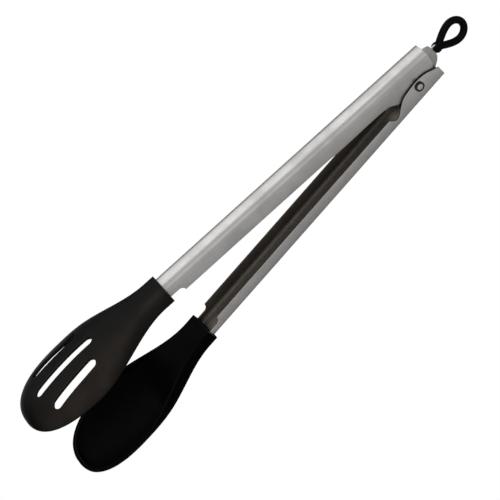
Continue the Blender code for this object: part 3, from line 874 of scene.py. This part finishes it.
def slot_cutter(name, start, end, width, lip=0.28):
    rim = INNER["edge"][-1][1] - RIM_SETBACK
    turns = (0, 0.35, 0.7, 1.05, math.pi / 2)
    flare = [(lip * (1 - math.sin(t)), lip * (1 - math.cos(t))) for t in turns]
    levels = [(lip, "above", 0.0)] + [(grow, "outside", depth) for grow, depth in flare]
    levels += [(grow, "inside", -depth) for grow, depth in flare[::-1]] + [(lip, "below", 0.0)]
    bm = bmesh.new()
    rings = []
    for grow, shell, depth in levels:
        ring = []
        for x, y in filled_in(slot_outline(start, end, width / 2 + grow)):
            outside, inside = heights_at(x, y)
            shells = {"above": DOME + 3, "outside": outside, "inside": inside, "below": -3.0}
            h = shells[shell] - depth
            ring.append(bm.verts.new((-(NECK + x), y, -INNER["side"] * (rim - h))))
        rings.append(ring)
    for ring, following in zip(rings, rings[1:]):
        for k in range(len(ring)):
            bm.faces.new((ring[k - 1], ring[k], following[k], following[k - 1]))
    bm.faces.new(rings[0])
    bm.faces.new(rings[-1][::-1])
    bmesh.ops.recalc_face_normals(bm, faces=bm.faces)
    return cutter_piece(name, bm, Matrix.Identity(4))


SLOT_WIDTH = 5.9
SLOTS = {
    "middle_slot": ((48.0, 0.0), (92.0, 0.0)),
    "left_slot": ((54.0, 14.0), (88.0, 15.8)),
    "right_slot": ((54.0, -14.0), (88.0, -15.8)),
}
for name, (start, end) in SLOTS.items():
    first, last = (start[0] + SLOT_WIDTH / 2, start[1]), (end[0] - SLOT_WIDTH / 2, end[1])
    cut(slotted_nylon, slot_cutter(name, first, last, SLOT_WIDTH))

baked(solid_nylon, 35)
baked(slotted_nylon, 35)
settle(solid_nylon, outer_frame, "outer_arm", "black_nylon", ["solid_head"], shaded_nylon_copy)
settle(slotted_nylon, inner_frame, "inner_arm", "black_nylon", ["slotted_head"], black_nylon)
print("head faces:", len(solid_nylon.data.polygons), len(slotted_nylon.data.polygons))

# %% [markdown]
# The rivet's near end has a ring round a bright dome, and the ring is painted nearly black, a
# painted shade. Its far end is plain and sits on a washer. Between the ears are two thin washers, a
# bush and the spring's coil.

# %% The rivet, washers and bush
SHANK, HEAD_RADIUS, DOME_RADIUS, HEAD_HEIGHT = 2.0, 2.95, 1.85, 1.2
near_face, far_face = -8.3, 9.2
near_top, far_top = near_face - HEAD_HEIGHT, far_face + HEAD_HEIGHT
DOME_RISE, GROOVE_DEPTH, GROOVE_OUTER = 0.42, 0.72, 2.2
dome_turns = [i * math.pi / 16 for i in range(9)]
profile = [
    (DOME_RADIUS * math.sin(a), near_top + DOME_RISE * (1 - math.cos(a))) for a in dome_turns
]
profile += [(DOME_RADIUS + 0.06, near_top + GROOVE_DEPTH), (GROOVE_OUTER, near_top + GROOVE_DEPTH)]
profile += [(GROOVE_OUTER + 0.1, near_top + DOME_RISE)]
profile += arc((HEAD_RADIUS - 0.3, near_top + 0.65), 0.3, -90, 0, 4)
profile += [(HEAD_RADIUS, near_face), (SHANK, near_face)]
profile += [(SHANK, far_face), (HEAD_RADIUS, far_face)]
profile += [
    (HEAD_RADIUS * math.cos(a), far_face + 0.3 + (far_top - far_face - 0.3) * math.sin(a))
    for a in (i * math.pi / 20 for i in range(10))
]
profile.append((0, far_top))
# painted shade: faces from here outwards on the near head take the nearly black steel
ring_start = (DOME_RADIUS + 0.01, near_face - 0.05)
rivet = mesh_piece("rivet_turned", turned_mesh(profile, dark_from=ring_start))
baked(rivet, 38)
settle(rivet, outer_frame, "outer_arm", "rivet_steel", ["hinge_rivet"], rivet_steel, ring_shade_steel)
WASHER_RADIUS = 3.6
rings = {
    "rivet_washer": (BORE, WASHER_RADIUS, 8.3, 8.9, rivet_steel, "rivet_steel"),
    "near_thrust_washer": (BORE, WASHER_RADIUS, -5.7, -5.1, spring_steel, "spring_steel"),
    "far_thrust_washer": (BORE, WASHER_RADIUS, 5.1, 5.7, spring_steel, "spring_steel"),
    "spacer_bush": (BORE, BORE + 1.1, -4.8, -0.9, rivet_steel, "rivet_steel"),
}
for name, (inner, outer, low, high, material, slot_name) in rings.items():
    washer = mesh_piece(name + "_turned", turned_mesh(rounded_ring(inner, outer, low, high), 56))
    washer.data.set_sharp_from_angle(angle=math.radians(40))
    settle(washer, outer_frame, "outer_arm", slot_name, [name], material)

# %% [markdown]
# The spring's coil and lower leg ride with the outer arm, and its upper leg rides with the inner
# arm, so both legs stay against the steel they push when the tongs close.

# %% The torsion spring
WIRE, TURNS, LEG = 0.55, 2.5, 15.0


def wire(name, points, radius, matrix, body):
    curve = bpy.data.curves.new(name, "CURVE")
    curve.dimensions = "3D"
    curve.bevel_depth = radius * MM
    curve.bevel_resolution = 5
    curve.use_fill_caps = True
    spline = curve.splines.new("POLY")
    spline.points.add(len(points) - 1)
    for point, (x, y, z) in zip(spline.points, points):
        point.co = (x * MM, y * MM, z * MM, 1)
    piece = bpy.data.objects.new(name, curve)
    bpy.context.scene.collection.objects.link(piece)
    return settle(piece, matrix, body, "spring_steel", ["torsion_spring"], spring_steel)


coil, y_outer, y_inner = BORE + 0.4 + WIRE, 4.25, 1.45
floor_z = -OUTER["back"] + SHEET + FIT + WIRE
ceiling_z = INNER["back"] - SHEET - FIT - WIRE
lower = [(-LEG, y_outer, floor_z), (-LEG / 3, y_outer, -coil - 1.6)]
for i in range(121):
    angle = math.radians(-90 + 360 * TURNS * i / 120)
    y = y_outer + (y_inner - y_outer) * i / 120
    lower.append((coil * math.cos(angle), y, coil * math.sin(angle)))
wire("spring_coil", lower, WIRE, outer_frame, "outer_arm")
upper = [(0.3, y_inner, coil), (-LEG / 5, y_inner, coil + 0.9), (-LEG, y_inner, ceiling_z)]
wire("spring_leg", upper, WIRE, inner_frame, "inner_arm")

# %% [markdown]
# The lock plate slides along the inner arm on its slot. Its nose carries the rubber loop, whose
# root is split to take the plate and pinned through it. The loop is smoothed as one soft body.

# %% The lock plate
PLATE, PLATE_FOOT, PLATE_FRONT, INNER_REAR = 1.2, -4.5, -24.0, 14.2
PLUG, STRAND, TRAVEL = 1.4, 2.2, 6.0
PIVOT = (INNER_REAR + 7.5, 5.9)
NOSE_RADIUS = PLUG + FIT + 0.9
SHOULDER_X, PLATE_TOP = INNER_REAR + 4.5, INNER["back"] - SHEET - 0.65


def plate_curve(name, outlines, thickness, bevel):
    curve = bpy.data.curves.new(name, "CURVE")
    curve.dimensions = "2D"
    curve.fill_mode = "BOTH"
    curve.extrude = (thickness / 2 - bevel) * MM
    curve.bevel_depth = bevel * MM
    curve.bevel_resolution = 2
    curve.offset = -bevel * MM
    for outline in outlines:
        spline = curve.splines.new("POLY")
        spline.points.add(len(outline) - 1)
        for point, (x, z) in zip(spline.points, outline):
            point.co = (x * MM, z * MM, 0, 1)
        spline.use_cyclic_u = True
    piece = bpy.data.objects.new(name, curve)
    bpy.context.scene.collection.objects.link(piece)
    return piece


upright = Matrix.Rotation(math.radians(90), 4, "X")
outline = [(PLATE_FRONT, -1.5), (PLATE_FRONT + 3, PLATE_FOOT), (INNER_REAR + 0.4, PLATE_FOOT)]
outline += [(INNER_REAR + 1.2, PLATE_FOOT + 0.5), (SHOULDER_X - 0.3, -1.3), (SHOULDER_X + 1.5, 1.4)]
outline += [(SHOULDER_X + 1.6, PIVOT[1] - NOSE_RADIUS)] + arc(PIVOT, NOSE_RADIUS, -90, 90, 24)
outline += [(SHOULDER_X + 0.9, PIVOT[1] + NOSE_RADIUS), (SHOULDER_X, 10.8)]
outline += [(INNER_REAR - 0.9, PLATE_TOP), (-9.0, PLATE_TOP), (-12.0, 4.5), (PLATE_FRONT, 3.0)]
holes = [slot_outline((-TRAVEL, 0), (0, 0), BORE, 24), arc(PIVOT, PLUG + FIT, 0, 360, 40)[:-1]]
plate = plate_curve("lock_plate_steel", [outline] + holes, PLATE, 0.12)
settle(plate, inner_frame @ upright, "lock_plate", "plate_steel", ["lock_plate"], plate_steel)

# %% The hanging loop
ROOT_FRONT, LOOP_LENGTH, LOOP_HALF_WIDTH = 2.6, 21.0, 7.9


def loop_middle_line(count):
    points = []
    for i in range(count):
        angle = 2 * math.pi * (i + 0.5) / count
        along = (1 - math.cos(angle)) / 2
        narrow = 0.32 + 0.68 * math.sin(math.pi / 2 * along)
        x = ROOT_FRONT + (LOOP_LENGTH - ROOT_FRONT) * along
        points.append((x, LOOP_HALF_WIDTH * math.sin(angle) * narrow))
    return points


def tube_mesh(points, radius, sides=24):
    """A round tube along a closed line in the XZ plane."""
    bm = bmesh.new()
    rings = []
    for i, (x, z) in enumerate(points):
        (x0, z0), (x1, z1) = points[i - 1], points[(i + 1) % len(points)]
        out = Vector((z1 - z0, 0, x0 - x1)).normalized()
        ring = []
        for k in range(sides):
            a = 2 * math.pi * k / sides
            lean = out * math.cos(a) + Vector((0, math.sin(a), 0))
            ring.append(bm.verts.new(Vector((x, 0, z)) + radius * lean))
        rings.append(ring)
    for i in range(len(rings)):
        for k in range(sides):
            bm.faces.new((rings[i - 1][k - 1], rings[i - 1][k], rings[i][k], rings[i][k - 1]))
    bmesh.ops.recalc_face_normals(bm, faces=bm.faces)
    return bm


def slab_mesh(outline, thickness):
    """A prism over an outline in the XZ plane, centred on Y = 0."""
    bm = bmesh.new()
    near, far = (
        [bm.verts.new((x, side * thickness / 2, z)) for x, z in outline] for side in (-1, 1)
    )
    bm.faces.new(near)
    bm.faces.new(far[::-1])
    for k in range(len(outline)):
        bm.faces.new((near[k - 1], near[k], far[k], far[k - 1]))
    bmesh.ops.recalc_face_normals(bm, faces=bm.faces)
    return bm


def joined(first, second):
    """Both closed meshes in one, which a voxel remesh then melts together."""
    helper = bpy.data.meshes.new("helper")
    second.to_mesh(helper)
    second.free()
    first.from_mesh(helper)
    bpy.data.meshes.remove(helper)
    return first


def melted(piece, voxel):
    soft = piece.modifiers.new("one body", "REMESH")
    soft.mode = "VOXEL"
    soft.voxel_size = voxel * MM


root = arc((0.9, 0), 2.7, 0, 360, 40)[:-1]
whole = joined(tube_mesh(loop_middle_line(72), STRAND), slab_mesh(root, 2 * STRAND - 0.1))
loop = mesh_piece("hanging_loop_rubber", whole)
melted(loop, 0.3)
web, side = NOSE_RADIUS + FIT, 8.0
slack = (side - NOSE_RADIUS - FIT) * math.tan(math.radians(38))
corner = arc((0, 0), web, -72.5, 72.5, 16)
mouth = corner[-1][0] + slack
split = [(-6, -side), (mouth, -side)] + corner + [(mouth, side), (-6, side)]
stay = Matrix.Identity(4)
cut(loop, cutter_piece("loop_split", slab_mesh(split, PLATE + 2 * FIT), stay))
reach = STRAND - 0.4
pin_shape = turned_mesh([(0, -reach), (PLUG, -reach), (PLUG, reach), (0, reach)], 32)
cut(loop, cutter_piece("loop_plug", pin_shape, stay), "UNION")
melted(loop, 0.25)
relax = loop.modifiers.new("soft edges", "SMOOTH")
relax.factor = 0.5
relax.iterations = 5
baked(loop, 180)
settle(loop, loop_frame, "hanging_loop", "black_rubber", ["hanging_loop"], black_rubber)
print("loop faces:", len(loop.data.polygons))

# %% [markdown]
# The finished surfaces should fill the same box as the CAD model. Both boxes are printed.

# %% Size and finish
low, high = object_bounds()
print("visual box, metres:", [round(v, 4) for v in high - low])
